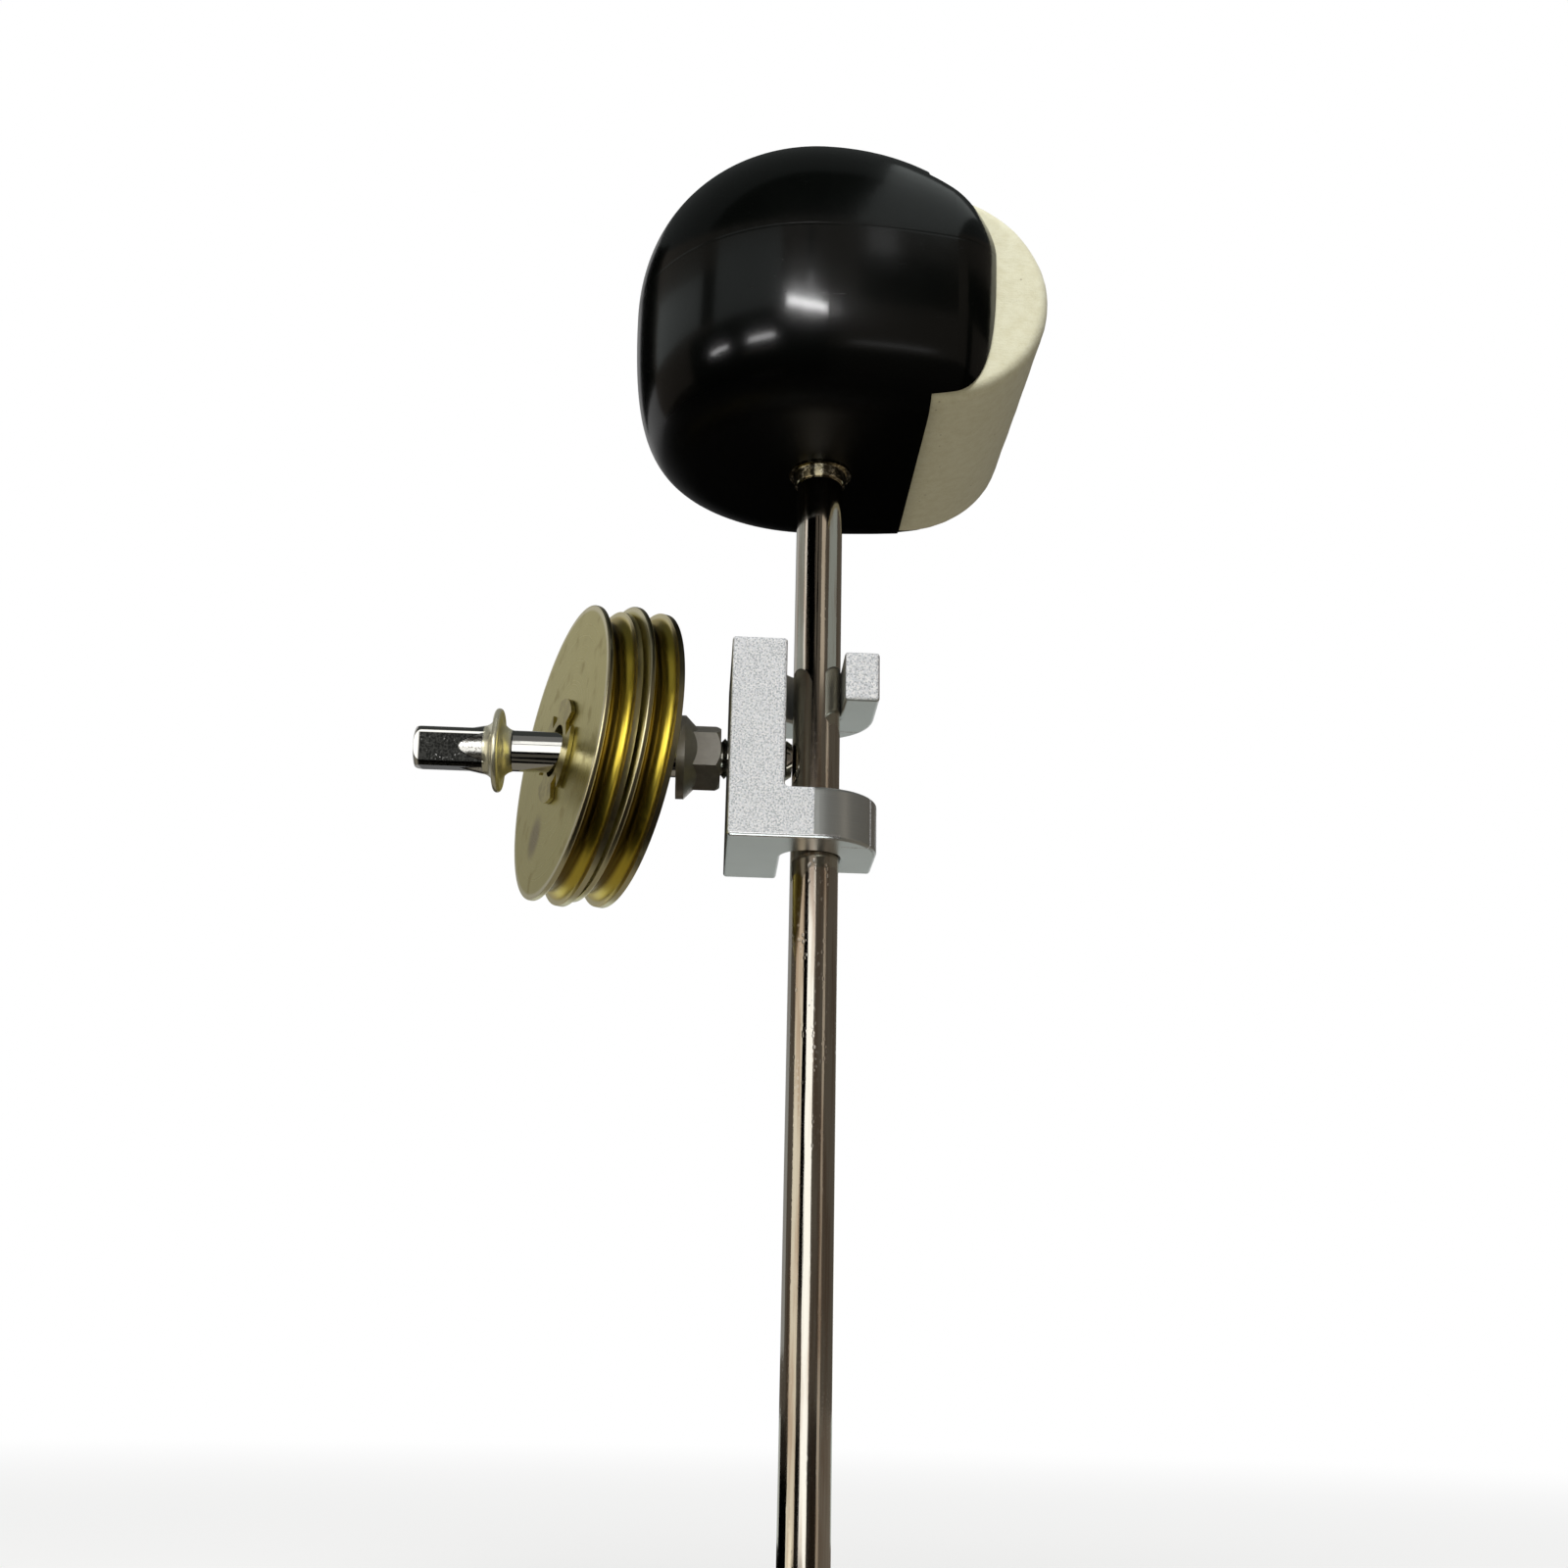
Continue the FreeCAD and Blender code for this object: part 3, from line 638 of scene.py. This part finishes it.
def sheave_finish(name, joint):
    """Yellow passivated sheet: pale on the flats, golden in the groove, with rings and stains.
    Returns the shader, its place, the bump of the groove's walls, two masks and the tone."""
    shader, place = start_finish(name, metallic=1.0)
    away, along = from_axis(place, *lean[joint])
    groove = step(away, 19.2 * MM, 20.2 * MM)
    groove = groove * step(along, 0.05 * MM, 0.35 * MM) * fade(along, 3.1 * MM, 3.5 * MM)
    sockets = {"W": away * rings_per_metre, "Scale": 1.0, "Detail": 3.0}
    rings = away.node("TexNoise", {"noise_dimensions": "1D"}, sockets)
    cloud = grain(place, 6 * MM, detail=4.0)
    stain = step(grain(place, 3.2 * MM, detail=2.0), 0.55, 0.75)
    rim = step(away, 20.9 * MM, 21.4 * MM)
    flat_tone = tint(stain * 0.35, tint(cloud, dull_brass, pale_brass), brown_stain)
    # Painted highlight: the rims are tinted pale.
    flat_tone = tint(rim * (0.5 + rings * 0.5), flat_tone, rim_highlight)
    # The groove's deeper gold is a painted reflection of light that bounces twice in it.
    tone = tint(groove, flat_tone, tint(cloud, deep_gold, pale_gold))
    # Painted shade: the groove's foot and its wall by the disc are darkened.
    groove_shade = groove * fade(along, 1.7 * MM, 2.6 * MM)
    tone = tint(groove_shade * 0.85, tone, painted_groove_shade)
    from_middle = abs(along - groove_middle)
    slope = along.maths("MINIMUM", from_middle, 1.7 * MM) * wall_slope
    return shader, place, bump(slope, 1.0 * MM), rings, stain, tone


# %% Both sheaves, and the marks on the outer disc
smudge_middle = Vector((-40.94, 6.46, 116.83)) * MM
dent_middle = Vector((-33.93, -7.32, 140.58)) * MM
smudge_brown = (0.24, 0.17, 0.05)
for side in ("outer", "inner"):
    made = sheave_finish(side + "_sheave_plating", side + "_spin")
    shader, place, flatter, rings, stain, tone = made
    height = rings * 0.5
    if side == "outer":
        tone = tint(spot(place, smudge_middle, 4.2 * MM) * 0.75, tone, smudge_brown)
        height = height - spot(place, dent_middle, 1.1 * MM) * 0.9
    feed(
        shader,
        base_color=tone,
        roughness=0.24 + rings * 0.10 + stain * 0.08,
        normal=bump(height, 0.03 * MM, 0.5, flatter),
    )
    coat(shader, side + "_disc", side + "_groove_pan")

# %% Hub bush finish
bush, place = start_finish("dark_bush_plating", metallic=1.0)
dark_brass, rubbed_brass = (0.46, 0.39, 0.13), (0.66, 0.58, 0.24)
cloud = grain(place, 1.8 * MM, detail=4.0)
feed(
    bush,
    base_color=tint(step(cloud, 0.35, 0.65), dark_brass, rubbed_brass),
    roughness=0.26 + cloud * 0.2,
    normal=bump(cloud, 0.04 * MM, 0.5),
)
coat(bush, "outer_hub_bush", "inner_hub_bush")

# %% [markdown]
# ## Key screw and nuts
# The key screw is chromed steel and the brightest piece. Its collar is tinted pale yellow, a
# painted reflection of the brass sheaves beside it, and the square is tinted near black and
# nicked, so masks along X tint both. The square is turned a little about the screw's axis, so
# its faces and its edges are found in turned coordinates. The nuts are dull zinc, and the
# ferrule in the head is nickel on brass with a grainy, sparkling face.

# %% Places on the screw
screw, place = start_finish("key_screw_chrome")
screw_low, screw_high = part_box("key_screw")
axle_height = (screw_low.z + screw_high.z) / 2
square_turn = math.radians(10)
collar_start, collar_end, blur = 10.0 * MM, 14.0 * MM, 0.1 * MM
along = part_of(place, "X") - screw_low.x
before_collar = fade(along, collar_start - blur, collar_start + blur)
collar = step(along, collar_start - blur, collar_start + blur)
collar = collar * fade(along, collar_end - blur, collar_end + blur)
forward, rise = part_of(place, "Y") * -1.0, part_of(place, "Z") - axle_height
to_front = forward * math.cos(square_turn) - rise * math.sin(square_turn)
to_top = forward * math.sin(square_turn) + rise * math.cos(square_turn)
across = along.maths("MAXIMUM", abs(to_front), abs(to_top))
neck = step(across, 2.87 * MM, 2.91 * MM) * before_collar
square_edge = step(to_front * to_top, 5.2 * MM * MM, 5.6 * MM * MM)
square = step(along, 0.7 * MM, 1.0 * MM) * before_collar
square = square * (1 - neck) * (1 - square_edge)
print("screw axle at height", round(axle_height / MM, 1), "mm")

# %% Screw finish
# The pale yellow is a painted reflection of the brass sheaves.
chrome, disc_reflection_yellow, bare_nick = (0.74, 0.73, 0.68), (0.88, 0.85, 0.56), (0.9, 0.89, 0.86)
square_black, square_grey = (0.012, 0.012, 0.011), (0.034, 0.034, 0.031)
neck_grey = (0.35, 0.33, 0.30)
cloud = grain(place, 2.0 * MM, detail=3.0)
speckle = grain(place, 0.30 * MM, detail=3.0)
nicks = step(speckle, 0.62, 0.70) * step(grain(place, 1.6 * MM), 0.48, 0.62) * square
# Painted reflection: the collar is tinted yellow as if it mirrored the sheaves.
tone = tint(collar * 0.6, chrome, disc_reflection_yellow)
# The square's faces are tinted near black, with grey speckle, and its edges keep the chrome.
tone = tint(square, tone, tint(step(speckle, 0.4, 0.6), square_black, square_grey))
tone = tint(neck * step(speckle, 0.52, 0.62), tone, neck_grey)
feed(
    screw,
    base_color=tint(nicks * 0.5, tone, bare_nick),
    metallic=1 - collar * 0.22,
    roughness=0.06 + cloud * 0.06 + square * 0.12 + collar * 0.16 + neck * 0.12,
    normal=bump(cloud * 0.4 - nicks * 0.3, 0.03 * MM, 0.6),
)
coat(screw, "key_screw")

# %% Nut finish
nut, place = start_finish("dull_zinc", metallic=0.88)
dark_zinc, pale_zinc = (0.40, 0.38, 0.33), (0.66, 0.63, 0.57)
cloud = grain(place, 1.4 * MM, detail=4.0)
feed(
    nut,
    base_color=tint(cloud, dark_zinc, pale_zinc),
    roughness=0.30 + cloud * 0.2,
    normal=bump(grain(place, 0.3 * MM), 0.03 * MM, 0.5),
)
coat(nut, "flange_nut", "head_washer", "head_lock_washer", "head_nut")

# %% Ferrule finish
ferrule, place = start_finish("ferrule_nickel", metallic=1.0)
dull_nickel, bright_nickel = (0.42, 0.37, 0.24), (0.86, 0.81, 0.64)
# Painted glints: the pale grains of the sparkle lighten the ferrule's colour.
sparkle = step(grain(place, 0.7 * MM, detail=2.0), 0.46, 0.66)
feed(
    ferrule,
    base_color=tint(sparkle, dull_nickel, bright_nickel),
    roughness=0.16 + sparkle * 0.08,
    normal=bump(sparkle, 0.02 * MM, 0.4),
)
coat(ferrule, "rod_ferrule")

# %% [markdown]
# ## Felt pad
# The striking face is hard pressed wool felt, cut as a half-round log. CAD gives only the
# plain log. Here the pad is a closed surface of two parameters, the way round the half circle
# and the way along the log, and soft unevenness is added along its normals. Its flat back
# stays on the seat.


# %% Felt shape
def felt_points(around, along, edge=1.6 * MM, edge_points=9, end_points=13):
    """Half-round log: (seat + R cos a, y, axis + R sin a) for a from -90 to 90 degrees. R is
    drawn in by edge (1 - cos b) over the rounded ends, and down to 0 across the end faces."""
    low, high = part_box("felt_pad")
    seat, radius = low.x, high.x - low.x
    axis_height = (low.z + high.z) / 2
    half = (high.y - low.y) / 2
    turn = np.linspace(-np.pi / 2, np.pi / 2, around)
    ends = np.linspace(0, np.pi / 2, edge_points)
    body = np.linspace(-(half - edge), half - edge, along)
    rim = half - edge + edge * np.sin(ends)
    drawn = 1 - edge * (1 - np.cos(ends)) / radius
    faces = np.linspace(1 - edge / radius, 0, end_points + 1)[1:]
    flat = np.full(end_points, half)
    way = np.concatenate([-flat, -rim[::-1], body[1:-1], rim, flat])
    share = np.concatenate([faces[::-1], drawn[::-1], np.ones(along - 2), drawn, faces])
    turn, way, share = turn[:, None], way[None, :], share[None, :]
    x = seat + radius * share * np.cos(turn)
    z = axis_height + radius * share * np.sin(turn)
    return np.stack([x, np.broadcast_to(way, x.shape), z], axis=-1)


def waves(points, size, seed, count=14):
    """Smooth unevenness of about 1 to either side: a sum of sine waves of about size metres,
    whose directions, lengths and phases are drawn from a seed."""
    chance = np.random.default_rng(seed)
    ways = chance.normal(size=(count, 3))
    ways *= 2 * np.pi / size / np.linalg.norm(ways, axis=1, keepdims=True)
    ways *= chance.uniform(0.6, 1.5, (count, 1))
    phases = chance.uniform(0, 2 * np.pi, count)
    return np.sin(points @ ways.T + phases).mean(axis=-1) * np.sqrt(2 / count) * 2.6


# %% Felt surface
points = felt_points(97, 120)
normals = np.cross(np.gradient(points, axis=0), np.gradient(points, axis=1))
normals /= np.maximum(np.linalg.norm(normals, axis=-1, keepdims=True), 1e-12)
free = np.clip((points[..., :1] - points[..., 0].min()) / (2 * MM), 0, 1)
uneven = 0.13 * waves(points, 9 * MM, 3) + 0.05 * waves(points, 2.2 * MM, 4)
points = points + normals * (uneven[..., None] * MM - 0.08 * MM) * free
print("felt stands", round(np.ptp(points[..., 0]) / MM, 2), "mm off its seat")

# %% Felt mesh
felt_mesh = bpy.data.meshes.new("felt_face")
quads = grid_faces(*points.shape[:2])
back = np.stack([np.arange(points.shape[1] - 1), np.arange(1, points.shape[1])], axis=1)
far = back + (points.shape[0] - 1) * points.shape[1]
closing = np.stack([back[:, 0], back[:, 1], far[:, 1], far[:, 0]], axis=1)
quads = np.concatenate([quads, closing])
felt_mesh.from_pydata(points.reshape(-1, 3), [], quads.tolist())
felt = bpy.data.objects.new("felt_face", felt_mesh)
scene.collection.objects.link(felt)
print("felt", len(felt_mesh.vertices), "points,", len(felt_mesh.polygons), "quads")

# %% Close the felt's poles and smooth it
work = bmesh.new()
work.from_mesh(felt_mesh)
bmesh.ops.remove_doubles(work, verts=work.verts, dist=1e-6)
bmesh.ops.recalc_face_normals(work, faces=work.faces)
work.to_mesh(felt_mesh)
work.free()
felt_mesh.shade_smooth()
felt_mesh.set_sharp_from_angle(angle=math.radians(50))
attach(felt, "head")
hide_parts("felt_pad")
print("felt after merging", len(felt_mesh.vertices), "points")

# %% [markdown]
# ## Felt finish
# Pressed wool is cream, never one colour: lighter and darker clouds of fibre, a few dark hairs
# and specks, and a matt surface with a soft sheen. Short fibres come from noise that is drawn
# out along turned axes, at about the width of real wool.

# %% Felt material
sheen = {"sheen_weight": 0.25, "sheen_roughness": 0.6}
wool, place = start_finish("cream_wool_felt", roughness=0.95, **sheen)
dark_cream, pale_cream, white_fibre = (0.70, 0.67, 0.46), (0.84, 0.83, 0.63), (0.90, 0.89, 0.72)
brown_hair = (0.26, 0.22, 0.14)
turned_place = place.node("Mapping", {}, {"Vector": place, "Rotation": (0.6, 0.9, 0.4)})
fibres = grain(place, 0.18 * MM, (7, 1, 1), 2.0) * 0.5
fibres = fibres + grain(turned_place, 0.18 * MM, (1, 7, 1), 2.0) * 0.5
mottle = grain(place, 1.5 * MM, detail=4.0, rough=0.7)
cloud = grain(place, 7 * MM)
speck = fade(cells(place, 2.6 * MM), 0.035, 0.08)
hair = step(grain(turned_place, 0.35 * MM, (1, 12, 1), 1.0), 0.74, 0.80)
tone = tint(step(mottle, 0.3, 0.7) * 0.6 + cloud * 0.4, dark_cream, pale_cream)
tone = tint(step(fibres, 0.35, 0.7) * 0.3, tone, white_fibre)
feed(
    wool,
    base_color=tint(speck * 0.55 + hair * 0.25, tone, brown_hair),
    normal=bump(fibres * 0.6 + mottle * 0.4, 0.16 * MM, 0.6),
)
felt_mesh.materials.append(finished(wool))
print(finished(wool).name, "on felt_face with", len(wool.id_data.nodes), "nodes")
